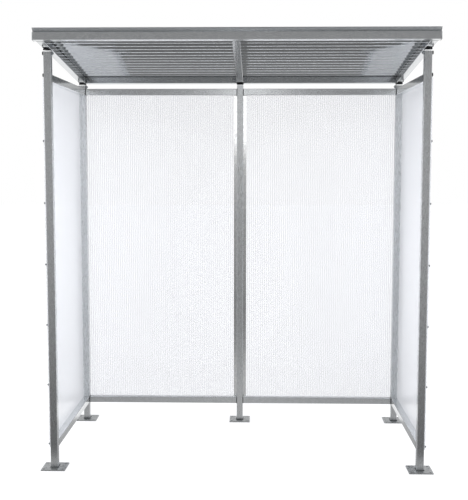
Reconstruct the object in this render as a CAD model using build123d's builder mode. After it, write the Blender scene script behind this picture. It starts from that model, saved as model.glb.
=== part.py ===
from build123d import *
import os
from math import asin, atan, atan2, cos, degrees, hypot, sin

# Smoking shelter: a galvanised tube frame, open in front, with twin-wall sheets
# on both sides and the back and a corrugated roof that falls to the back.
# Millimetres, +Z up, open front towards -Y, origin on the ground under the
# middle of the roof.

os.makedirs("parts", exist_ok=True)

# Square tube that the whole frame is cut from
tube = 38.1
tube_wall = 2.0
tube_corner = 1.8

# Frame, across the outer faces of the posts
frame_width = 1981.0
frame_depth = 980.0

# Heights: the rails above the ground, the back posts above the top rails, and
# the fall of the roof from the front posts to the back ones
bottom_rail_z = 111.0
top_rail_top = 2076.0
back_post_rise = 25.0
roof_fall = 95.0

# Feet
plate_side = 127.0
plate_thick = 6.0
anchor_hole = 11.0
anchor_spacing = 98.0

# Roof frame and sheet: the front beam runs past the posts by its overhang, and
# the sheet runs past the beam's caps by its lip
front_overhang = 191.0
rear_overhang = 52.0
beam_overhang = 7.5
sheet_lip = 2.0
wave_depth = 22.2
wave_count = 17
wave_bend = 14.0
sheet_thick = 0.9

# Joint between a post and the rafter above it: a plastic spigot that shows as a
# dark band in the gap
spigot_wall = 2.5
spigot_fit = 0.3
spigot_depth = 70.0
rafter_gap = 7.0

# End plates that close the rails, a little smaller than the tube
end_plate_thick = 3.0
end_plate_step = 1.6

# Twin-wall sheets: two skins joined by upright webs, ending a little below the
# top of the top rails
panel_thick = 8.0
panel_skin = 0.5
web_thick = 0.4
cell_width = 11.7
panel_drop = 18.0
panel_setback = 14.0
panel_gap = 3.0
landing_width = 19.0
landing_thick = 3.0

# Brackets of the rear roof beam and caps of the front one
bracket_leg = 30.0
bracket_thick = 3.0
bracket_width = 26.0
cap_thick = 3.0
cap_fit = 0.3
cap_plug = 20.0
cap_wall = 2.0

# Places worked out from the sizes above
tube_bore = tube - 2 * tube_wall
total_depth = front_overhang + frame_depth + rear_overhang
front_face = front_overhang - total_depth / 2
back_face = front_face + frame_depth
half_width = frame_width / 2
post_x = half_width - tube / 2
front_y = front_face + tube / 2
back_y = back_face - tube / 2
post_run = back_y - front_y
back_post_top = top_rail_top + back_post_rise
front_post_top = back_post_top + roof_fall

slope = atan(roof_fall / post_run)
beam_front = front_face - front_overhang
roof_z = front_post_top + rafter_gap + (front_y - beam_front) * sin(slope) / cos(slope)
down_slope = Vector(0, cos(slope), -sin(slope))
roof_plane = Plane(
    origin=(0, beam_front, roof_z),
    x_dir=(1, 0, 0),
    z_dir=(0, sin(slope), cos(slope)),
)


def slope_distance(y):
    """Distance down the underside of the rafters at a place along Y."""
    return (y - beam_front) / cos(slope)


def roof_point(x, s, n):
    """Point at s down the slope and n above the underside of the rafters."""
    return roof_plane.from_local_coords((x, s, n))


# Section of the frame's tube, with its outer corners broken
with BuildSketch() as tube_outline:
    Rectangle(tube, tube)
    chamfer(tube_outline.vertices(), tube_corner)

with BuildSketch() as tube_section:
    add(tube_outline.sketch)
    Rectangle(tube_bore, tube_bore, mode=Mode.SUBTRACT)


def square_ring(size, wall):
    """Section of a square sleeve that fits in the tube, for the sketch in use."""
    Rectangle(size, size)
    Rectangle(size - 2 * wall, size - 2 * wall, mode=Mode.SUBTRACT)


def save(name, part):
    """Names a finished piece and writes it."""
    part.label = name
    export_step(part, f"parts/{name}.step")


posts = {
    "front_left": (-post_x, front_y, front_post_top),
    "front_right": (post_x, front_y, front_post_top),
    "back_left": (-post_x, back_y, back_post_top),
    "back_centre": (0, back_y, back_post_top),
    "back_right": (post_x, back_y, back_post_top),
}

# Base plates, each with four anchor holes round its post
for place, (x, y, top) in posts.items():
    with BuildPart() as base_plate:
        with BuildSketch(Plane.XY):
            with Locations((x, y)):
                Rectangle(plate_side, plate_side)
                with GridLocations(anchor_spacing, anchor_spacing, 2, 2):
                    Circle(anchor_hole / 2, mode=Mode.SUBTRACT)
        extrude(amount=plate_thick)
    save(f"base_plate_{place}", base_plate.part)

# Posts, open square tube standing on the plates
for place, (x, y, top) in posts.items():
    with BuildPart() as post:
        with BuildSketch(Plane.XY.offset(plate_thick)):
            with Locations((x, y)):
                add(tube_section.sketch)
        extrude(amount=top - plate_thick)
    save(f"post_{place}", post.part)

# Spigots, plastic sleeves in the heads of the posts, cut to the slope of the rafters
spigot_size = tube_bore - 2 * spigot_fit
for place, (x, y, top) in posts.items():
    with BuildPart() as spigot:
        with BuildSketch(Plane.XY.offset(top - spigot_depth)):
            with Locations((x, y)):
                square_ring(spigot_size, spigot_wall)
        extrude(amount=spigot_depth + 2 * rafter_gap + tube)
        split(bisect_by=roof_plane, keep=Keep.BOTTOM)
    save(f"spigot_{place}", spigot.part)


def closed_tube(start, direction, length, side=(1, 0, 0)):
    """Tube with a stepped end plate on each end, from start along a direction."""
    along = Vector(*direction)
    with BuildPart() as piece:
        inner_start = start + along * end_plate_thick
        with BuildSketch(Plane(inner_start, x_dir=side, z_dir=along)):
            add(tube_section.sketch)
        extrude(amount=length - 2 * end_plate_thick)
        plate = tube - 2 * end_plate_step
        for offset_along in (0, length - 2 * end_plate_thick):
            with BuildSketch(Plane(start + along * offset_along, x_dir=side, z_dir=along)):
                Rectangle(plate, plate)
            extrude(amount=2 * end_plate_thick)
    return piece.part


# Side rails from front post to back post
rail_heights = {"bottom": bottom_rail_z + tube / 2, "top": top_rail_top - tube / 2}
side_rail_start = front_y + tube / 2
side_rail_length = post_run - tube
for level, z in rail_heights.items():
    for hand, x in (("left", -post_x), ("right", post_x)):
        rail = closed_tube(Vector(x, side_rail_start, z), (0, 1, 0), side_rail_length)
        save(f"side_rail_{level}_{hand}", rail)

# Back rails from each corner post to the centre post
back_rail_length = post_x - tube
for level, z in rail_heights.items():
    for hand, x in (("left", -post_x + tube / 2), ("right", tube / 2)):
        rail = closed_tube(Vector(x, back_y, z), (1, 0, 0), back_rail_length, side=(0, 1, 0))
        save(f"back_rail_{level}_{hand}", rail)

# Front roof beam, which is also the fascia
beam_length = frame_width + 2 * beam_overhang
beam_end = roof_point(-beam_length / 2, tube / 2, tube / 2)
with BuildPart() as front_beam:
    with BuildSketch(Plane(beam_end, x_dir=down_slope, z_dir=(1, 0, 0))):
        add(tube_section.sketch)
    extrude(amount=beam_length)
save("front_beam", front_beam.part)

# Plastic caps in the two ends of the front beam
cap_size = tube_bore - 2 * cap_fit
for hand, side in (("left", -1), ("right", 1)):
    end = roof_point(side * beam_length / 2, tube / 2, tube / 2)
    with BuildPart() as beam_cap:
        with BuildSketch(Plane(end, x_dir=down_slope, z_dir=(side, 0, 0))):
            add(tube_outline.sketch)
        extrude(amount=cap_thick)
        with BuildSketch(Plane(end, x_dir=down_slope, z_dir=(-side, 0, 0))):
            square_ring(cap_size, cap_wall)
        extrude(amount=cap_plug)
    save(f"beam_cap_{hand}", beam_cap.part)

# Rafters from the front beam down to the back of the frame
rafter_start = tube
rafter_end = slope_distance(back_face)
rafters = {"left": -post_x, "centre": 0, "right": post_x}
for hand, x in rafters.items():
    start = roof_point(x, rafter_start, tube / 2)
    rafter = closed_tube(start, tuple(down_slope), rafter_end - rafter_start)
    save(f"rafter_{hand}", rafter)

# Rear roof beam, in two lengths between the rafters
rear_beam_s = slope_distance(back_y)
rear_beam_length = post_x - tube
for hand, x in (("left", -post_x + tube / 2), ("right", tube / 2)):
    start = roof_point(x, rear_beam_s, tube / 2)
    beam = closed_tube(start, (1, 0, 0), rear_beam_length, side=down_slope)
    save(f"rear_beam_{hand}", beam)

# Angle brackets in the corners between the rear beam and the rafters
bracket_s = rear_beam_s - tube / 2
corners = {
    "left_outer": (-post_x + tube / 2, 1),
    "left_inner": (-tube / 2, -1),
    "right_inner": (tube / 2, 1),
    "right_outer": (post_x - tube / 2, -1),
}
for name, (x, side) in corners.items():
    with BuildPart() as bracket:
        with BuildSketch(roof_plane.offset((tube - bracket_width) / 2)):
            with BuildLine():
                Polyline(
                    (x, bracket_s),
                    (x + side * bracket_leg, bracket_s),
                    (x + side * bracket_leg, bracket_s - bracket_thick),
                    (x + side * bracket_thick, bracket_s - bracket_thick),
                    (x + side * bracket_thick, bracket_s - bracket_leg),
                    (x, bracket_s - bracket_leg),
                    close=True,
                )
            make_face()
        extrude(amount=bracket_width)
    save(f"beam_bracket_{name}", bracket.part)

# Corrugated roof sheet, waves running from side to side. It starts and ends on a
# crest, and its valleys rest on the front beam and the rafters. Arcs of one radius
# make the crests and valleys, and straight flanks join them.
sheet_width = beam_length + 2 * (cap_thick + sheet_lip)
sheet_length = (total_depth - (tube + wave_depth) * sin(slope)) / cos(slope)
wave_pitch = sheet_length / wave_count
wave_rise = wave_depth - sheet_thick
centres_rise = wave_rise - 2 * wave_bend
centres_apart = hypot(wave_pitch / 2, centres_rise)
flank = degrees(atan2(centres_rise, wave_pitch / 2) + asin(2 * wave_bend / centres_apart))
sheet_edge = roof_point(-sheet_width / 2, 0, tube + sheet_thick / 2)
with BuildPart() as roof_sheet:
    with BuildSketch(Plane(sheet_edge, x_dir=down_slope, z_dir=(1, 0, 0))):
        with BuildLine():
            for wave in range(wave_count):
                crest = wave * wave_pitch
                crest_centre = wave_rise - wave_bend
                fall = CenterArc((crest, crest_centre), wave_bend, 90 - flank, flank)
                valley = CenterArc((crest + wave_pitch / 2, wave_bend), wave_bend, 270 - flank, 2 * flank)
                climb = CenterArc((crest + wave_pitch, crest_centre), wave_bend, 90, flank)
                Line(fall @ 0, valley @ 0)
                Line(valley @ 1, climb @ 1)
        trace(line_width=sheet_thick)
    extrude(amount=sheet_width)
save("roof_sheet", roof_sheet.part)


def twin_wall_sheet(name, middle, width, along):
    """Upright sheet standing on its middle, as wide as given, with its cells open at both ends."""
    cells = round((width - web_thick) / cell_width)
    pitch = (width - web_thick) / cells
    with BuildPart() as sheet:
        with BuildSketch(Plane(middle, x_dir=along, z_dir=(0, 0, 1))):
            Rectangle(width, panel_thick)
            with GridLocations(pitch, 0, cells, 1):
                Rectangle(pitch - web_thick, panel_thick - 2 * panel_skin, mode=Mode.SUBTRACT)
        extrude(amount=top_rail_top - panel_drop - bottom_rail_z)
    save(name, sheet.part)


# Side sheets on the outer faces of the posts
side_panel_y = (front_y + back_y) / 2
for hand, side in (("left", -1), ("right", 1)):
    middle = (side * (half_width + panel_thick / 2), side_panel_y, bottom_rail_z)
    twin_wall_sheet(f"side_panel_{hand}", middle, frame_depth - 2 * panel_setback, (0, 1, 0))

# Back sheets on the back faces of the posts, with a gap between them
back_panel_width = half_width - panel_setback - panel_gap / 2
for hand, side in (("left", -1), ("right", 1)):
    middle = (side * (panel_gap + back_panel_width) / 2, back_face + panel_thick / 2, bottom_rail_z)
    twin_wall_sheet(f"back_panel_{hand}", middle, back_panel_width, (1, 0, 0))

# Landing strips beside the centre post, where the edges of the back sheets rest
landing_z = bottom_rail_z + tube
landing_height = top_rail_top - tube - landing_z
for hand, side in (("left", -1), ("right", 1)):
    with BuildPart() as landing:
        with BuildSketch(Plane.XY.offset(landing_z)):
            with Locations((side * (tube + landing_width) / 2, back_face - landing_thick / 2)):
                Rectangle(landing_width, landing_thick)
        extrude(amount=landing_height)
    save(f"landing_strip_{hand}", landing.part)

print("slope in degrees", round(degrees(slope), 3))
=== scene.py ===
import bmesh
import bpy
from math import atan2, cos, radians, sin
from mathutils import Matrix, Vector, noise


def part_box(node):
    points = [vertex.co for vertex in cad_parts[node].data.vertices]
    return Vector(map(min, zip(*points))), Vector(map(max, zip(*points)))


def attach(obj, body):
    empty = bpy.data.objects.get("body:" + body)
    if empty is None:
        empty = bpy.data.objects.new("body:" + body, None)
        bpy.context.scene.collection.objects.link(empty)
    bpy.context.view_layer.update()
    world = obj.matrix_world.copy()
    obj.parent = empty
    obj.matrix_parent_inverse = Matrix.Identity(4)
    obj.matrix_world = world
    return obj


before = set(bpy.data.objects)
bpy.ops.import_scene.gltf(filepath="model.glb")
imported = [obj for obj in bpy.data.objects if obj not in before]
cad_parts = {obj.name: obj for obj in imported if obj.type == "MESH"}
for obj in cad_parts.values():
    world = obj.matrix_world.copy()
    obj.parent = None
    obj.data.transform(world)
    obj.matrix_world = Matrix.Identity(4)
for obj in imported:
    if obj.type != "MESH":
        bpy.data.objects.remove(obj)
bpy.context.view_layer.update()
print("frame loaded:", len(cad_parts), "nodes")

scene = bpy.context.scene
scene.view_settings.view_transform = "Standard"


def linearColour(hexText):
    levels = [int(hexText[i:i + 2], 16) / 255 for i in (1, 3, 5)]
    return [v / 12.92 if v <= 0.04045 else ((v + 0.055) / 1.055) ** 2.4 for v in levels] + [1.0]


def feed(tree, node, links):
    for name, source in links.items():
        tree.links.new(source, node.inputs[name])


def addNode(tree, kind, settings, links):
    # Settings go to the node's own values, to its sockets or to the points of its ramp. A
    # Mix node takes its factor on socket 0, floats on 2 and 3 and colours on 6 and 7, and
    # gives floats on output 0 and colours on output 2.
    node = tree.nodes.new(kind)
    for name, value in settings.items():
        if name == "ramp":
            points = node.color_ramp.elements
            while len(points) < len(value):
                points.new(0.5)
            for point, (position, colour) in zip(points, value):
                point.position = position
                point.color = colour
        elif isinstance(name, str) and hasattr(node, name):
            setattr(node, name, value)
        else:
            node.inputs[name].default_value = value
    feed(tree, node, links)
    return node


def newMaterial(name, metallic, roughness):
    material = bpy.data.materials.new(name)
    material.use_nodes = True
    shader = material.node_tree.nodes["Principled BSDF"]
    shader.inputs["Metallic"].default_value = metallic
    shader.inputs["Roughness"].default_value = roughness
    return material, material.node_tree, shader


def finishPiece(bm, name, material, sharpAngle=35):
    mesh = bpy.data.meshes.new(name)
    bm.to_mesh(mesh)
    bm.free()
    mesh.materials.append(material)
    mesh.polygons.foreach_set("use_smooth", [True] * len(mesh.polygons))
    mesh.set_sharp_from_angle(angle=radians(sharpAngle))
    piece = bpy.data.objects.new(name, mesh)
    scene.collection.objects.link(piece)
    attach(piece, "root")


# Camera at the photograph's viewing angle: its place in metres, its turns in radians
camera = {
    "place": (0.10481, -5.14331, 1.62511),
    "yaw": 0.0250, "pitch": -0.0952, "roll": -0.0007,
    "focalPixels": 914.29, "widthPixels": 468,
    "sensor": 36.0, "clipEnd": 200.0,
}

cameraData = bpy.data.cameras.new("camera")
cameraData.sensor_fit = "HORIZONTAL"
cameraData.sensor_width = camera["sensor"]
cameraData.lens = camera["focalPixels"] / camera["widthPixels"] * camera["sensor"]
cameraData.clip_end = camera["clipEnd"]
cameraObject = bpy.data.objects.new("camera", cameraData)
scene.collection.objects.link(cameraObject)
cameraTurn = (Matrix.Rotation(camera["yaw"], 4, "Z")
              @ Matrix.Rotation(camera["pitch"], 4, "X")
              @ Matrix.Rotation(camera["roll"], 4, "Y")
              @ Matrix.Rotation(radians(90), 4, "X"))
cameraObject.matrix_world = Matrix.Translation(camera["place"]) @ cameraTurn
scene.camera = cameraObject
print("camera placed")


# Pre-galvanised square tube, drawn and seam welded: a bright zinc grey, part mirror
# and part matt, with faint draw lines along the tube and a flat crystal bloom. The
# upright ones are dulled by handling. The draw lines are drawn coarser than the real
# ones, which are too fine to show.
tubeLook = {
    "zincDark": "#cfd2d4", "zincLight": "#e2e4e6", "metallic": 0.96,
    "bloomMm": 14, "bloomShare": 0.2, "drawLineMm": 1.6, "patchMm": 180, "lineStretch": 0.03,
    "darkAt": 0.35, "lightAt": 0.85,
    "rough": {"x": (0.18, 0.25), "y": (0.13, 0.19), "z": (0.24, 0.31)}, "bump": 0.03, "bumpHigh": 0.0003,
}


def zincTube(name, along):
    look = tubeLook
    roughLow, roughHigh = look["rough"][along]
    material, tree, shader = newMaterial(name, look["metallic"], roughLow)
    place = addNode(tree, "ShaderNodeTexCoord", {}, {})
    stretch = [look["lineStretch"] if axis == along else 1.0 for axis in "xyz"]
    drawn = addNode(tree, "ShaderNodeMapping", {"Scale": stretch}, {"Vector": place.outputs["Object"]})
    lines = addNode(tree, "ShaderNodeTexNoise", {"Scale": 1000 / look["drawLineMm"], "Detail": 2.0},
                    {"Vector": drawn.outputs["Vector"]})
    patches = addNode(tree, "ShaderNodeTexNoise", {"Scale": 1000 / look["patchMm"], "Detail": 4.0},
                      {"Vector": drawn.outputs["Vector"]})
    bloom = addNode(tree, "ShaderNodeTexVoronoi", {"Scale": 1000 / look["bloomMm"]},
                    {"Vector": place.outputs["Object"]})
    bloomGrey = addNode(tree, "ShaderNodeSeparateColor", {}, {"Color": bloom.outputs["Color"]})
    tone = addNode(tree, "ShaderNodeMath", {"operation": "MULTIPLY_ADD", 1: look["bloomShare"]},
                   {0: bloomGrey.outputs["Red"], 2: patches.outputs["Fac"]})
    tones = ((look["darkAt"], linearColour(look["zincDark"])),
             (look["lightAt"], linearColour(look["zincLight"])))
    colour = addNode(tree, "ShaderNodeValToRGB", {"ramp": tones}, {"Fac": tone.outputs["Value"]})
    rough = addNode(tree, "ShaderNodeMapRange", {"To Min": roughLow, "To Max": roughHigh},
                    {"Value": lines.outputs["Fac"]})
    bump = addNode(tree, "ShaderNodeBump", {"Strength": look["bump"], "Distance": look["bumpHigh"]},
                   {"Height": lines.outputs["Fac"]})
    feed(tree, shader, {"Base Color": colour.outputs["Color"], "Roughness": rough.outputs["Result"],
                        "Normal": bump.outputs["Normal"]})
    return material


zincUpright = zincTube("galvanisedTubeUpright", "z")
zincAcross = zincTube("galvanisedTubeAcross", "x")
zincDeep = zincTube("galvanisedTubeDeep", "y")


# Hot-dip galvanised steel, cut and dipped: greyer and rougher than the tube, with
# the zinc's crystal flowers and a fine grain. The rolled strip is smoother and
# shines nearly like a mirror. The weld bead is dull, and its dark tone is partly
# painted shade at the feet of the posts.
flatZinc = {
    "plate": {"dark": "#a9acae", "light": "#c9cbcd", "flowerMm": 9, "grainMm": 2.5,
              "roughLow": 0.24, "roughHigh": 0.42, "bump": 0.12, "bumpHigh": 0.0006},
    "strip": {"dark": "#dadcde", "light": "#eceded", "flowerMm": 9, "grainMm": 2.5,
              "roughLow": 0.10, "roughHigh": 0.16, "bump": 0.03, "bumpHigh": 0.0006},
    # the weld's dark tones are partly painted shade at the posts' feet
    "weld": {"dark": "#55585a", "light": "#808385", "flowerMm": 3, "grainMm": 1.2,
             "roughLow": 0.40, "roughHigh": 0.60, "bump": 0.5, "bumpHigh": 0.0006},
}


def flowerZinc(name, look):
    material, tree, shader = newMaterial(name, metallic=1.0, roughness=look["roughLow"])
    place = addNode(tree, "ShaderNodeTexCoord", {}, {})
    flowers = addNode(tree, "ShaderNodeTexVoronoi", {"Scale": 1000 / look["flowerMm"]},
                      {"Vector": place.outputs["Object"]})
    flowerGrey = addNode(tree, "ShaderNodeSeparateColor", {}, {"Color": flowers.outputs["Color"]})
    tones = ((0.0, linearColour(look["dark"])), (1.0, linearColour(look["light"])))
    colour = addNode(tree, "ShaderNodeValToRGB", {"ramp": tones}, {"Fac": flowerGrey.outputs["Red"]})
    rough = addNode(tree, "ShaderNodeMapRange", {"To Min": look["roughLow"], "To Max": look["roughHigh"]},
                    {"Value": flowerGrey.outputs["Green"]})
    grain = addNode(tree, "ShaderNodeTexNoise", {"Scale": 1000 / look["grainMm"], "Detail": 3.0},
                    {"Vector": place.outputs["Object"]})
    bump = addNode(tree, "ShaderNodeBump", {"Strength": look["bump"], "Distance": look["bumpHigh"]},
                   {"Height": grain.outputs["Fac"]})
    feed(tree, shader, {"Base Color": colour.outputs["Color"], "Roughness": rough.outputs["Result"],
                        "Normal": bump.outputs["Normal"]})
    return material


zincPlate = flowerZinc("hotDipZincPlate", flatZinc["plate"])
zincStrip = flowerZinc("rolledZincStrip", flatZinc["strip"])
weldZincAndFootShade = flowerZinc("weldBeadAndFootShade", flatZinc["weld"])


# Aluminium-zinc coated sheet steel, roll formed: smooth enough to mirror the
# back sheets as bright bands, with a fine spangle and a gloss that wanders a
# little. The weather has turned its front edge matt.
roofLook = {
    "spangleDark": "#c3c5c7", "spangleLight": "#d2d4d5", "spangleMm": 5,
    "roughLow": 0.04, "roughHigh": 0.08, "rollMm": 260,
    "mattFrom": 0.004, "mattTo": 0.024, "mattMetallic": 0.35,  # metres behind the edge
}
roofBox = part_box("roof_sheet")
roofFront = roofBox[0].y
roofSteel, tree, shader = newMaterial("aluminiumZincSheet", metallic=1.0, roughness=roofLook["roughLow"])
place = addNode(tree, "ShaderNodeTexCoord", {}, {})
spangle = addNode(tree, "ShaderNodeTexVoronoi", {"Scale": 1000 / roofLook["spangleMm"]},
                  {"Vector": place.outputs["Object"]})
spangleGrey = addNode(tree, "ShaderNodeSeparateColor", {}, {"Color": spangle.outputs["Color"]})
tones = ((0.0, linearColour(roofLook["spangleDark"])), (1.0, linearColour(roofLook["spangleLight"])))
colour = addNode(tree, "ShaderNodeValToRGB", {"ramp": tones}, {"Fac": spangleGrey.outputs["Red"]})
rolled = addNode(tree, "ShaderNodeTexNoise", {"Scale": 1000 / roofLook["rollMm"], "Detail": 4.0},
                 {"Vector": place.outputs["Object"]})
rough = addNode(tree, "ShaderNodeMapRange",
                {"To Min": roofLook["roughLow"], "To Max": roofLook["roughHigh"]},
                {"Value": rolled.outputs["Fac"]})
axes = addNode(tree, "ShaderNodeSeparateXYZ", {}, {"Vector": place.outputs["Object"]})
mattEdge = addNode(tree, "ShaderNodeMapRange",
                   {"From Min": roofFront + roofLook["mattFrom"], "From Max": roofFront + roofLook["mattTo"],
                    "To Min": roofLook["mattMetallic"]},
                   {"Value": axes.outputs["Y"]})
feed(tree, shader, {"Base Color": colour.outputs["Color"], "Roughness": rough.outputs["Result"],
                    "Metallic": mattEdge.outputs["Result"]})


# Opal twin-wall polycarbonate, extruded: milky and glossy, clear enough square
# on to let the white behind come through, denser and more of a mirror seen from
# the side, with faint upright streaks from the die. The webs of its cells show as
# fine upright lines, drawn wider than the real 0.4 mm, which is too thin to show.
sheetLook = {
    "opal": "#f6f7f9", "streak": "#e9eaef", "streakMm": 24, "streakStretch": 0.01,
    "webMm": 0.4, "cellMm": 11.7, "lineShare": 0.30, "lineAlpha": 0.08,
    "webLine": {"x": "#d2d4d9", "y": "#eceef1"},
    "alphaSquare": 0.12, "alphaSide": 0.45, "throughShare": 0.62,
    "gloss": "#ffffff", "glossSquare": 0.04, "glossPower": 6.0, "glossRough": 0.30,
}


def opalSheet(panelName, along):
    look = sheetLook
    low, high = [getattr(corner, along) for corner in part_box(panelName)]
    web = look["webMm"] / 1000
    cells = round((high - low - web) / (look["cellMm"] / 1000))
    pitch = (high - low - web) / cells
    material, tree, shader = newMaterial("opalTwinWall_" + panelName, 0.0, look["glossRough"])
    shader.inputs["Specular IOR Level"].default_value = 0.0
    place = addNode(tree, "ShaderNodeTexCoord", {}, {})
    drawn = addNode(tree, "ShaderNodeMapping", {"Scale": (1.0, 1.0, look["streakStretch"])},
                    {"Vector": place.outputs["Object"]})
    streaks = addNode(tree, "ShaderNodeTexNoise", {"Scale": 1000 / look["streakMm"], "Detail": 2.0},
                      {"Vector": drawn.outputs["Vector"]})
    opal = addNode(tree, "ShaderNodeMix", {"data_type": "RGBA", 6: linearColour(look["opal"]),
                                          7: linearColour(look["streak"])},
                   {0: streaks.outputs["Fac"]})
    axes = addNode(tree, "ShaderNodeSeparateXYZ", {}, {"Vector": place.outputs["Object"]})
    counted = addNode(tree, "ShaderNodeMath", {"operation": "MULTIPLY_ADD", 1: 1 / pitch,
                                              2: -(low + web / 2) / pitch},
                      {0: axes.outputs[along.upper()]})
    fromWeb = addNode(tree, "ShaderNodeMath", {"operation": "PINGPONG", 1: 0.5},
                      {0: counted.outputs["Value"]})
    onLine = addNode(tree, "ShaderNodeMath", {"operation": "LESS_THAN", 1: look["lineShare"] / 2},
                     {0: fromWeb.outputs["Value"]})
    colour = addNode(tree, "ShaderNodeMix", {"data_type": "RGBA", 7: linearColour(look["webLine"][along])},
                     {0: onLine.outputs["Value"], 6: opal.outputs[2]})
    feed(tree, shader, {"Base Color": colour.outputs[2]})
    through = addNode(tree, "ShaderNodeBsdfTranslucent", {}, {"Color": colour.outputs[2]})
    milk = addNode(tree, "ShaderNodeMixShader", {0: look["throughShare"]},
                   {1: shader.outputs["BSDF"], 2: through.outputs["BSDF"]})
    aside = addNode(tree, "ShaderNodeLayerWeight", {"Blend": 0.5}, {})
    dense = addNode(tree, "ShaderNodeMapRange", {"To Min": look["alphaSquare"], "To Max": look["alphaSide"]},
                    {"Value": aside.outputs["Facing"]})
    clear = addNode(tree, "ShaderNodeBsdfTransparent", {}, {})
    lined = addNode(tree, "ShaderNodeMath", {"operation": "MULTIPLY_ADD", 1: look["lineAlpha"]},
                    {0: onLine.outputs["Value"], 2: dense.outputs["Result"]})
    body = addNode(tree, "ShaderNodeMixShader", {},
                   {0: lined.outputs["Value"], 1: clear.outputs["BSDF"], 2: milk.outputs["Shader"]})
    grazing = addNode(tree, "ShaderNodeMath", {"operation": "POWER", 1: look["glossPower"]},
                      {0: aside.outputs["Facing"]})
    glossShare = addNode(tree, "ShaderNodeMapRange", {"To Min": look["glossSquare"]},
                         {"Value": grazing.outputs["Value"]})
    gloss = addNode(tree, "ShaderNodeBsdfAnisotropic",
                    {"Color": linearColour(look["gloss"]), "Roughness": look["glossRough"]}, {})
    sheet = addNode(tree, "ShaderNodeMixShader", {},
                    {0: glossShare.outputs["Result"], 1: body.outputs["Shader"], 2: gloss.outputs["BSDF"]})
    feed(tree, tree.nodes["Material Output"], {"Surface": sheet.outputs["Shader"]})
    return material


panelRuns = {
    "back_panel_left": "x", "back_panel_right": "x",
    "side_panel_left": "y", "side_panel_right": "y",
}
panelMaterials = {panel: opalSheet(panel, along) for panel, along in panelRuns.items()}


# Injection-moulded polyethylene: satin and finely pebbled. It is black in the end
# caps, spigots, collars and bolt covers; on the spigots and collars that black is
# painted shade in the gaps under the rafters. It is grey in the ends of the front beam,
# and pale in the washers on the post heads, a painted highlight on the posts' top edges.
capLook = {
    "black": ("#161718", "#232425"), "grey": ("#85888a", "#929597"), "pale": ("#f1f2f2", "#fafafa"),
    "pebbleMm": 0.8, "roughness": 0.55, "specular": 0.10, "bump": 0.2, "bumpHigh": 0.0002,
}


def mouldedCap(name, tones):
    material, tree, shader = newMaterial(name, metallic=0.0, roughness=capLook["roughness"])
    shader.inputs["Specular IOR Level"].default_value = capLook["specular"]
    place = addNode(tree, "ShaderNodeTexCoord", {}, {})
    pebble = addNode(tree, "ShaderNodeTexNoise", {"Scale": 1000 / capLook["pebbleMm"], "Detail": 2.0},
                     {"Vector": place.outputs["Object"]})
    colour = addNode(tree, "ShaderNodeMix", {"data_type": "RGBA", 6: linearColour(tones[0]),
                                            7: linearColour(tones[1])},
                     {0: pebble.outputs["Fac"]})
    bump = addNode(tree, "ShaderNodeBump", {"Strength": capLook["bump"], "Distance": capLook["bumpHigh"]},
                   {"Height": pebble.outputs["Fac"]})
    feed(tree, shader, {"Base Color": colour.outputs[2], "Normal": bump.outputs["Normal"]})
    return material


# black: the real colour of caps, bolt covers and seals, and painted shade on spigots and collars
blackCapAndGapShade = mouldedCap("blackPolyethyleneAndGapShade", capLook["black"])
greyCap = mouldedCap("mouldedPolyethyleneGrey", capLook["grey"])
# the near-white of the post-head washers is a painted highlight
paleHighlightCap = mouldedCap("paleHighlightPolyethylene", capLook["pale"])


# Zinc-plated screw steel, cold headed: an even, slightly blue passivated film,
# duller where it has worn.
screwLook = {"bright": "#c9cdd1", "dull": "#a6aaae", "wearMm": 3, "roughness": 0.26}
screwSteel, tree, shader = newMaterial("zincPlatedScrew", metallic=1.0, roughness=screwLook["roughness"])
place = addNode(tree, "ShaderNodeTexCoord", {}, {})
wear = addNode(tree, "ShaderNodeTexNoise", {"Scale": 1000 / screwLook["wearMm"], "Detail": 3.0},
               {"Vector": place.outputs["Object"]})
colour = addNode(tree, "ShaderNodeMix", {"data_type": "RGBA", 6: linearColour(screwLook["dull"]),
                                        7: linearColour(screwLook["bright"])},
                 {0: wear.outputs["Fac"]})
feed(tree, shader, {"Base Color": colour.outputs[2]})
print("materials made")

nodeMaterials = {
    "post": zincUpright, "side_rail": zincDeep, "back_rail": zincAcross,
    "front_beam": zincAcross, "rear_beam": zincAcross, "rafter": zincDeep,
    # the spigots' black is painted shade in the gap between post head and rafter
    "base_plate": zincPlate, "spigot": blackCapAndGapShade, "landing_strip": zincStrip,
    "beam_bracket": zincPlate, "beam_cap": greyCap, "roof_sheet": roofSteel, **panelMaterials,
}
for nodeName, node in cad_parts.items():
    for start, material in nodeMaterials.items():
        if nodeName.startswith(start):
            for slot in node.material_slots:
                slot.material = material
print("materials assigned")


def middle(box, axis):
    return (getattr(box[0], axis) + getattr(box[1], axis)) / 2


# Places on the frame, read from the boxes of its solids
postPlaces = ("front_left", "front_right", "back_left", "back_centre", "back_right")
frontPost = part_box("post_front_left")
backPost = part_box("post_back_left")
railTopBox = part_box("side_rail_top_right")
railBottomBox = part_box("side_rail_bottom_right")
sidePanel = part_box("side_panel_right")
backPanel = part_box("back_panel_right")
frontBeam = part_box("front_beam")
halfTube = (frontPost[1].x - frontPost[0].x) / 2
postX = -middle(frontPost, "x")
frontY = middle(frontPost, "y")
backY = middle(backPost, "y")
plateTop = frontPost[0].z
slope = atan2(frontPost[1].z - backPost[1].z, backY - frontY)
downSlope = Vector((0, cos(slope), -sin(slope)))
offSlope = Vector((0, sin(slope), cos(slope)))
roofCorner = Vector((0, frontBeam[0].y, frontBeam[1].z - 2 * halfTube * cos(slope)))


def onRoof(x, down, up):
    # point down the slope from the front beam's lower front edge, and above the rafters' underside
    return roofCorner + Vector((x, 0, 0)) + downSlope * down + offSlope * up


def toY(y):
    # distance down the slope to a place along Y
    return (y - roofCorner.y) / cos(slope)


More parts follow.
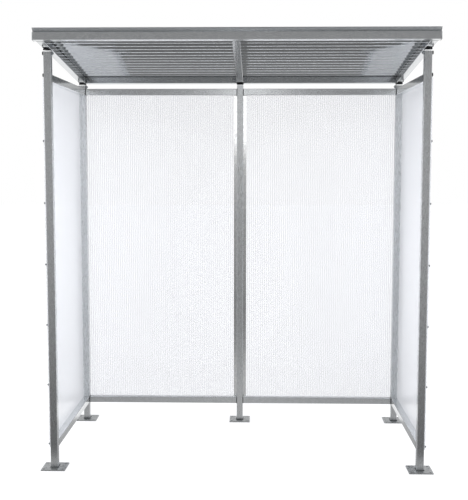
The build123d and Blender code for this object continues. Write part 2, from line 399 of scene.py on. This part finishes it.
def addShape(bm, shape):
    # Each shape is made in a bmesh of its own and then joined to its piece, because in a
    # bmesh that was bevelled before, create_cone orders its faces anew on each run.
    mesh = bpy.data.meshes.new("shape")
    shape.to_mesh(mesh)
    shape.free()
    bm.from_mesh(mesh)
    bpy.data.meshes.remove(mesh)


def isLevel(edge, step):
    return abs(edge.verts[0].co.z - edge.verts[1].co.z) < step


def breakEdges(bm, edges, offset):
    bmesh.ops.bevel(bm, geom=edges, offset=offset, offset_type="OFFSET", segments=2, profile=0.5,
                    affect="EDGES", material=-1)


def hexHead(bm, flats, high, base, chamfer):
    # hexagon of a width across its flats, with the top edges broken
    corner = flats / 2 / cos(radians(30))
    head = bmesh.new()
    bmesh.ops.create_cone(head, cap_ends=True, segments=6, radius1=corner, radius2=corner, depth=high,
                          matrix=Matrix.Translation((0, 0, base + high / 2)))
    breakEdges(head, [edge for edge in head.edges
                      if all(vert.co.z > base + high / 2 for vert in edge.verts)], chamfer)
    addShape(bm, head)


def roundDisc(bm, wide, thick, base, edge, segments):
    # round disc with its two rims softened
    disc = bmesh.new()
    bmesh.ops.create_cone(disc, cap_ends=True, segments=segments, radius1=wide / 2, radius2=wide / 2,
                          depth=thick, matrix=Matrix.Translation((0, 0, base + thick / 2)))
    breakEdges(disc, [rim for rim in disc.edges if isLevel(rim, thick / 2)], edge)
    addShape(bm, disc)


def squareBlock(bm, wide, thick, base, edge):
    # square block with every edge softened
    block = bmesh.new()
    bmesh.ops.create_cube(block, size=1, matrix=Matrix.Translation((0, 0, base + thick / 2))
                          @ Matrix.Diagonal((wide, wide, thick, 1)))
    breakEdges(block, list(block.edges), edge)
    addShape(bm, block)


def screwHead(bm, size, base=0):
    # hexagon head or nut on its round flange or washer
    roundDisc(bm, size["discWide"], size["discThick"], base, size["discEdge"], size["discSides"])
    hexHead(bm, size["flats"], size["headHigh"], base + size["discThick"], size["chamfer"])


def patternMesh(name, build, *sizes):
    bm = bmesh.new()
    build(bm, *sizes)
    mesh = bpy.data.meshes.new(name)
    bm.to_mesh(mesh)
    bm.free()
    return mesh


def stamp(bm, pattern, point, outward, tilt=0.0):
    # copies a pattern mesh so that its +Z looks outward from the point, tilted about X after that
    before = set(bm.verts)
    bm.from_mesh(pattern)
    turn = Vector(outward).to_track_quat("Z", "Y").to_matrix().to_4x4()
    bmesh.ops.transform(bm, matrix=Matrix.Translation(point) @ Matrix.Rotation(-tilt, 4, "X") @ turn,
                        verts=[vert for vert in bm.verts if vert not in before])


# Frame bolts: M10 hexagon heads under black covers outside, nuts and thread ends inside
frameBolt = {
    "discWide": 0.020, "discThick": 0.002, "discEdge": 0.0004, "discSides": 24,
    "flats": 0.0165, "headHigh": 0.0064, "chamfer": 0.0011,
    "threadWide": 0.0098, "threadOut": 0.0125, "threadEdge": 0.0008, "threadSides": 16,
    "belowPostTop": 0.013, "belowRailTop": 0.004,
}


def boltEnd(bm, size):
    screwHead(bm, size)
    roundDisc(bm, size["threadWide"], size["threadOut"], 0, size["threadEdge"], size["threadSides"])


headMesh = patternMesh("boltHead", screwHead, frameBolt)
endMesh = patternMesh("boltEnd", boltEnd, frameBolt)

for side, sign in (("left", -1), ("right", 1)):
    nuts = bmesh.new()
    heads = bmesh.new()
    outerX = sign * (postX + halfTube)
    innerX = sign * (postX - halfTube)
    for y, postTop in ((frontY, frontPost[1].z), (backY, backPost[1].z)):
        inHead = postTop - frameBolt["belowPostTop"]
        inRail = railTopBox[1].z - frameBolt["belowRailTop"]
        inRafter = onRoof(0, toY(y), halfTube).z
        for z in (inHead, inRail, inRafter):
            stamp(heads, headMesh, (outerX, y, z), (sign, 0, 0))
        stamp(nuts, endMesh, (innerX, y, inHead), (-sign, 0, 0))
    stamp(nuts, endMesh, (innerX, frontY, onRoof(0, toY(frontY), halfTube).z), (-sign, 0, 0))
    finishPiece(nuts, "frameNuts_" + side, screwSteel)
    finishPiece(heads, "frameBolts_" + side, blackCapAndGapShade)
print("frame bolts made")

# Sheet screws: flanged hexagon heads that hold the twin-wall sheets to the posts and strips
sheetScrew = {
    "discWide": 0.0125, "discThick": 0.0012, "discEdge": 0.0004, "discSides": 20,
    "flats": 0.008, "headHigh": 0.0042, "chamfer": 0.0006,
    "heights": (0.130, 0.451, 0.772, 1.093, 1.415, 1.736), "stripX": 0.0285,
}
screwMesh = patternMesh("sheetScrewHead", screwHead, sheetScrew)
for side, sign in (("left", -1), ("right", 1)):
    bm = bmesh.new()
    for z in sheetScrew["heights"]:
        for y in (frontY, backY):
            stamp(bm, screwMesh, (sign * sidePanel[1].x, y, z), (sign, 0, 0))
        for x in (sign * sheetScrew["stripX"], sign * postX):
            stamp(bm, screwMesh, (x, backPanel[1].y, z), (0, 1, 0))
    finishPiece(bm, "sheetScrews_" + side, screwSteel)
print("sheet screws made")

# Bracket bolts: one in each leg of the four brackets of the rear roof beam
bracketBolt = {
    "discWide": 0.0125, "discThick": 0.0014, "discEdge": 0.0003, "discSides": 20,
    "flats": 0.010, "headHigh": 0.0042, "chamfer": 0.0007,
    "leg": 0.030, "thick": 0.003,
}
bracketMesh = patternMesh("bracketBoltHead", screwHead, bracketBolt)
rearBeamFront = toY(backY) - halfTube
legMiddle = (bracketBolt["leg"] + bracketBolt["thick"]) / 2
bm = bmesh.new()
for x, sign in ((-postX + halfTube, 1), (-halfTube, -1), (halfTube, 1), (postX - halfTube, -1)):
    onRafter = onRoof(x + sign * bracketBolt["thick"], rearBeamFront - legMiddle, halfTube)
    onBeam = onRoof(x + sign * legMiddle, rearBeamFront - bracketBolt["thick"], halfTube)
    stamp(bm, bracketMesh, onRafter, (sign, 0, 0))
    stamp(bm, bracketMesh, onBeam, -downSlope)
finishPiece(bm, "bracketBolts", screwSteel)
print("bracket bolts made")

# Roof screws, in valleys of the sheet over the rafters, on black sealing washers
roofScrew = {
    "sealWide": 0.016, "sealThick": 0.0028, "sealEdge": 0.0008,
    "discWide": 0.0125, "discThick": 0.0012, "discEdge": 0.0004, "discSides": 20,
    "flats": 0.008, "headHigh": 0.0050, "chamfer": 0.0006,
    "sheetThick": 0.0009, "waves": 17, "valleys": (1, 4, 7, 10, 13, 15),
}
sealMesh = patternMesh("sealWasher", roundDisc, roofScrew["sealWide"], roofScrew["sealThick"], 0,
                       roofScrew["sealEdge"], roofScrew["discSides"])
roofScrewMesh = patternMesh("roofScrewHead", screwHead, roofScrew, roofScrew["sealThick"])
sheetLength = (roofBox[1].y - roofFront) / cos(slope)
seals = bmesh.new()
heads = bmesh.new()
for x in (-postX, 0, postX):
    for valley in roofScrew["valleys"]:
        down = (valley + 0.5) * sheetLength / roofScrew["waves"]
        point = onRoof(x, down, 2 * halfTube + roofScrew["sheetThick"])
        stamp(seals, sealMesh, point, offSlope)
        stamp(heads, roofScrewMesh, point, offSlope)
finishPiece(seals, "roofSealWashers", blackCapAndGapShade)
finishPiece(heads, "roofScrews", screwSteel)
print("roof screws made")

# Black end caps of the rails, beams and rafters, over the small steps of their end plates
endCap = {"wide": 0.0377, "thick": 0.0034, "proud": 0.0002, "edge": 0.0006}
capMesh = patternMesh("endCap", squareBlock, endCap["wide"], endCap["thick"],
                      endCap["proud"] - endCap["thick"], endCap["edge"])
bm = bmesh.new()
backEnds = ((postX - halfTube, 1), (halfTube, -1))
for rail in (railTopBox, railBottomBox):
    z = middle(rail, "z")
    for x in (-postX, postX):
        stamp(bm, capMesh, (x, rail[0].y, z), (0, -1, 0))
        stamp(bm, capMesh, (x, rail[1].y, z), (0, 1, 0))
    for x, sign in backEnds:
        stamp(bm, capMesh, (x, backY, z), (sign, 0, 0))
        stamp(bm, capMesh, (-x, backY, z), (-sign, 0, 0))
for x, sign in backEnds:
    for side in (-1, 1):
        stamp(bm, capMesh, onRoof(side * x, toY(backY), halfTube), (side * sign, 0, 0), slope)
for x in (-postX, 0, postX):
    stamp(bm, capMesh, onRoof(x, 2 * halfTube, halfTube), -downSlope)
    stamp(bm, capMesh, onRoof(x, toY(backY + halfTube), halfTube), downSlope)
finishPiece(bm, "tubeEndCaps", blackCapAndGapShade)
print("end caps made")

# Black collars of the spigots, between the posts' heads and the rafters, whose black is
# painted shade in those gaps. They stand on pale washers that cover the posts' heads, whose
# near-white is a painted highlight on the posts' top edges.
collar = {"edge": 0.0008, "washerWide": 0.0387, "washerThick": 0.0060, "washerUp": 0.0001}
washerMesh = patternMesh("collarWasher", squareBlock, collar["washerWide"], collar["washerThick"],
                         collar["washerUp"] - collar["washerThick"], collar["edge"])
collars = bmesh.new()
washers = bmesh.new()
for postPlace in postPlaces:
    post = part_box("post_" + postPlace)
    x, y, low = middle(post, "x"), middle(post, "y"), post[1].z
    high = onRoof(0, toY(y), 0).z
    stamp(washers, washerMesh, (x, y, low), (0, 0, 1))
    block = bmesh.new()
    bmesh.ops.create_cube(block, size=1, matrix=Matrix.Translation((x, y, (low + high) / 2))
                          @ Matrix.Diagonal((2 * halfTube, 2 * halfTube, high - low, 1)))
    for vert in block.verts:
        if vert.co.z > (low + high) / 2:
            vert.co.z -= (vert.co.y - y) * downSlope.z / -downSlope.y
    breakEdges(block, list(block.edges), collar["edge"])
    addShape(collars, block)
# the collars' black is painted shade in the gap under each rafter
finishPiece(collars, "postCollarsGapShade", blackCapAndGapShade)
# the washers' near-white is a painted highlight on the posts' top edges
finishPiece(washers, "collarWashersHighlight", paleHighlightCap)
print("collars made")

# Weld beads round the feet of the posts, rippled above their lowest part; their dark tone is partly painted
# shade at the feet
weld = {"leg": 0.0045, "ripple": 0.0005, "rippleScale": 220, "rippleFrom": 0.2, "cuts": 16, "sharpAngle": 50}
for postPlace in postPlaces:
    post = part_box("post_" + postPlace)
    bm = bmesh.new()
    foot = (halfTube + weld["leg"]) * 2 ** 0.5
    top = halfTube * 2 ** 0.5
    centre = (middle(post, "x"), middle(post, "y"), plateTop + weld["leg"] / 2)
    bmesh.ops.create_cone(bm, cap_ends=True, segments=4, radius1=foot, radius2=top, depth=weld["leg"],
                          matrix=Matrix.Translation(centre) @ Matrix.Rotation(radians(45), 4, "Z"))
    rims = [edge for edge in bm.edges if isLevel(edge, weld["leg"] / 2)]
    bmesh.ops.subdivide_edges(bm, edges=rims, cuts=weld["cuts"])
    corners = [edge for edge in bm.edges if not isLevel(edge, weld["leg"] / 2)]
    bmesh.ops.subdivide_edges(bm, edges=corners, cuts=1)
    for vert in bm.verts:
        if vert.co.z > plateTop + weld["leg"] * weld["rippleFrom"]:
            vert.co.z += weld["ripple"] * noise.noise(vert.co * weld["rippleScale"])
    bmesh.ops.recalc_face_normals(bm, faces=bm.faces)
    finishPiece(bm, "weldBead_" + postPlace, weldZincAndFootShade, weld["sharpAngle"])
print("welds made")


def greySteps(levels, low, high):
    # points of a ramp from 0 to 1, for greys given at places between low and high
    return [((at - low) / (high - low), (level, level, level, 1.0)) for at, level in levels]


# Floor: white to the camera, and to mirrors a painted grey that goes by the distance in front:
# painted shade of the shelter under its roof and just before its front, a painted pool of light
# before the middle, and other greys from above than at a glance. The levels are listed by Y in metres.
stage = {
    "floorSize": 60.0, "floorColour": "#76777a", "backdrop": "#ffffff", "cameraLift": 0.83,
    "mirrorFrom": -9.0, "mirrorTo": 1.0, "poolFrom": 0.8, "poolTo": 0.2, "aboveAt": 0.2, "glanceAt": 0.6,
    # painted levels: the low greys under and just before the shelter are its painted shade, and the pool is
    # painted light
    "glance": ((-9.0, 0.34), (-3.6, 0.21), (-0.68, 0.10), (-0.6, 0.38), (0.5, 0.48), (0.6, 1.0)),
    "pool": ((-9.0, 0.33), (-3.6, 0.25), (-2.0, 0.30), (-0.6, 0.54), (0.5, 0.48), (0.6, 1.0)),
    "above": ((-9.0, 0.45), (-1.2, 0.42), (-0.85, 0.16), (0.5, 0.30), (0.6, 1.0)),
}
floorMaterial = bpy.data.materials.new("studioFloor")
floorMaterial.use_nodes = True
tree = floorMaterial.node_tree
tree.nodes.clear()
path = addNode(tree, "ShaderNodeLightPath", {}, {})
place = addNode(tree, "ShaderNodeTexCoord", {}, {})
axes = addNode(tree, "ShaderNodeSeparateXYZ", {}, {"Vector": place.outputs["Object"]})
forward = addNode(tree, "ShaderNodeMapRange",
                  {"From Min": stage["mirrorFrom"], "From Max": stage["mirrorTo"]},
                  {"Value": axes.outputs["Y"]})
glance, pool, above = [
    addNode(tree, "ShaderNodeValToRGB",
            {"ramp": greySteps(stage[part], stage["mirrorFrom"], stage["mirrorTo"])},
            {"Fac": forward.outputs["Result"]})
    for part in ("glance", "pool", "above")]
aside = addNode(tree, "ShaderNodeMath", {"operation": "ABSOLUTE"}, {0: axes.outputs["X"]})
inPool = addNode(tree, "ShaderNodeMapRange", {"From Min": stage["poolFrom"], "From Max": stage["poolTo"]},
                 {"Value": aside.outputs["Value"]})
atGlance = addNode(tree, "ShaderNodeMix", {"data_type": "RGBA"},
                   {0: inPool.outputs["Result"], 6: glance.outputs["Color"], 7: pool.outputs["Color"]})
grazing = addNode(tree, "ShaderNodeLayerWeight", {"Blend": 0.5}, {})
seenLow = addNode(tree, "ShaderNodeMapRange", {"From Min": stage["aboveAt"], "From Max": stage["glanceAt"]},
                  {"Value": grazing.outputs["Facing"]})
inMirror = addNode(tree, "ShaderNodeMix", {"data_type": "RGBA"},
                   {0: seenLow.outputs["Result"], 6: above.outputs["Color"], 7: atGlance.outputs[2]})
direct = addNode(tree, "ShaderNodeMath", {"operation": "MAXIMUM"},
                 {0: path.outputs["Is Camera Ray"], 1: path.outputs["Is Transmission Ray"]})
lift = addNode(tree, "ShaderNodeMath", {"operation": "MULTIPLY", 1: stage["cameraLift"]},
               {0: direct.outputs["Value"]})
matt = addNode(tree, "ShaderNodeBsdfDiffuse", {"Color": linearColour(stage["floorColour"])}, {})
glow = addNode(tree, "ShaderNodeEmission", {"Color": linearColour(stage["backdrop"])},
               {"Strength": lift.outputs["Value"]})
both = addNode(tree, "ShaderNodeAddShader", {}, {0: matt.outputs["BSDF"], 1: glow.outputs["Emission"]})
# glows only for mirrors, with the painted shade of the shelter and a painted pool of light
paintedMirrorFloor = addNode(tree, "ShaderNodeEmission", {"Color": linearColour(stage["backdrop"])},
                      {"Strength": inMirror.outputs[2]})
floorShader = addNode(tree, "ShaderNodeMixShader", {},
                      {0: path.outputs["Is Glossy Ray"], 1: both.outputs["Shader"],
                       2: paintedMirrorFloor.outputs["Emission"]})
addNode(tree, "ShaderNodeOutputMaterial", {}, {"Surface": floorShader.outputs["Shader"]})

bm = bmesh.new()
bmesh.ops.create_grid(bm, x_segments=1, y_segments=1, size=stage["floorSize"] / 2)
floorMesh = bpy.data.meshes.new("studioFloor")
bm.to_mesh(floorMesh)
bm.free()
floorMesh.materials.append(floorMaterial)
floor = bpy.data.objects.new("studioFloor", floorMesh)
scene.collection.objects.link(floor)

# Studio: plain white light, which mirrors see as pale walls at the sides and the back, a
# darker one in front, and a grey band on the back one just over the horizon. Places are
# parts of a direction: Y from front to back, Z upwards.
studio = {
    "lightLevel": 1.03, "wallWhite": "#ffffff", "wallMirrored": 0.72,
    "frontLow": 0.49, "frontHigh": 0.26, "frontLowAt": 0.02, "frontHighAt": 0.12,
    "frontFrom": -0.90, "frontTo": -0.40, "backFrom": 0.70, "backTo": 0.92, "backHigh": 0.5,
    "backLevels": ((0.0, 0.72), (0.03, 0.50), (0.16, 0.50), (0.30, 0.72)),
}
world = bpy.data.worlds.new("studio")
scene.world = world
world.use_nodes = True
tree = world.node_tree
tree.nodes.clear()
path = addNode(tree, "ShaderNodeLightPath", {}, {})
place = addNode(tree, "ShaderNodeTexCoord", {}, {})
axes = addNode(tree, "ShaderNodeSeparateXYZ", {}, {"Vector": place.outputs["Generated"]})
frontWall = addNode(tree, "ShaderNodeMapRange",
                    {"From Min": studio["frontLowAt"], "From Max": studio["frontHighAt"],
                     "To Min": studio["frontLow"], "To Max": studio["frontHigh"]},
                    {"Value": axes.outputs["Z"]})
toSides = addNode(tree, "ShaderNodeMapRange",
                  {"From Min": studio["frontFrom"], "From Max": studio["frontTo"]},
                  {"Value": axes.outputs["Y"]})
sides = addNode(tree, "ShaderNodeMix", {"data_type": "FLOAT", 3: studio["wallMirrored"]},
                {0: toSides.outputs["Result"], 2: frontWall.outputs["Result"]})
upward = addNode(tree, "ShaderNodeMapRange", {"From Max": studio["backHigh"]}, {"Value": axes.outputs["Z"]})
backWall = addNode(tree, "ShaderNodeValToRGB",
                   {"ramp": greySteps(studio["backLevels"], 0.0, studio["backHigh"])},
                   {"Fac": upward.outputs["Result"]})
atBack = addNode(tree, "ShaderNodeMapRange",
                 {"From Min": studio["backFrom"], "From Max": studio["backTo"]},
                 {"Value": axes.outputs["Y"]})
mirrored = addNode(tree, "ShaderNodeMix", {"data_type": "FLOAT"},
                   {0: atBack.outputs["Result"], 2: sides.outputs[0], 3: backWall.outputs["Color"]})
lit = addNode(tree, "ShaderNodeBackground",
              {"Color": linearColour(studio["wallWhite"]), "Strength": studio["lightLevel"]}, {})
inMirror = addNode(tree, "ShaderNodeBackground", {"Color": linearColour(studio["wallWhite"])},
                   {"Strength": mirrored.outputs[0]})
seen = addNode(tree, "ShaderNodeBackground", {"Color": linearColour(stage["backdrop"]), "Strength": 1.0}, {})
direct = addNode(tree, "ShaderNodeMath", {"operation": "MAXIMUM"},
                 {0: path.outputs["Is Camera Ray"], 1: path.outputs["Is Transmission Ray"]})
glossy = addNode(tree, "ShaderNodeMixShader", {},
                 {0: path.outputs["Is Glossy Ray"], 1: lit.outputs["Background"],
                  2: inMirror.outputs["Background"]})
blend = addNode(tree, "ShaderNodeMixShader", {},
                {0: direct.outputs["Value"], 1: glossy.outputs["Shader"], 2: seen.outputs["Background"]})
addNode(tree, "ShaderNodeOutputWorld", {}, {"Surface": blend.outputs["Shader"]})

# Lamps: sizes in metres, power in watts, spread in degrees
lamps = {
    "softboxFront": {"place": (0.0, -6.0, 3.2), "aim": (0, 0, 1.2), "wide": 5.0, "high": 2.4,
                     "power": 60, "spread": 180, "mirrored": False},
    "softboxLeft": {"place": (-4.5, -1.2, 2.8), "aim": (0, 0, 1.1), "wide": 3.0, "high": 3.0,
                    "power": 215, "spread": 180, "mirrored": False},
    "softboxRight": {"place": (4.5, -1.5, 2.6), "aim": (0, 0, 1.1), "wide": 3.0, "high": 3.0,
                     "power": 215, "spread": 180, "mirrored": False},
    "softboxBackLeft": {"place": (-2.2, 3.2, 1.7), "aim": (-0.8, 0.49, 1.2), "wide": 1.2, "high": 2.0,
                        "power": 18, "spread": 70, "mirrored": False},
    "softboxBackRight": {"place": (2.2, 3.2, 1.7), "aim": (0.8, 0.49, 1.2), "wide": 1.2, "high": 2.0,
                         "power": 18, "spread": 70, "mirrored": False},
    "stripbox": {"place": (0.0, -6.0, 2.35), "aim": (0, 0, 1.9), "wide": 0.7, "high": 1.1,
                 "power": 3.4, "spread": 180, "mirrored": True},
}
for name, lamp in lamps.items():
    light = bpy.data.lights.new(name, "AREA")
    light.shape = "RECTANGLE"
    light.size = lamp["wide"]
    light.size_y = lamp["high"]
    light.energy = lamp["power"]
    light.spread = radians(lamp["spread"])
    lightObject = bpy.data.objects.new(name, light)
    lightObject.visible_camera = False
    lightObject.visible_glossy = lamp["mirrored"]
    aim = Vector(lamp["aim"]) - Vector(lamp["place"])
    lightObject.matrix_world = (Matrix.Translation(lamp["place"])
                                @ aim.to_track_quat("-Z", "Y").to_matrix().to_4x4())
    scene.collection.objects.link(lightObject)
print("floor, studio and lamps set")
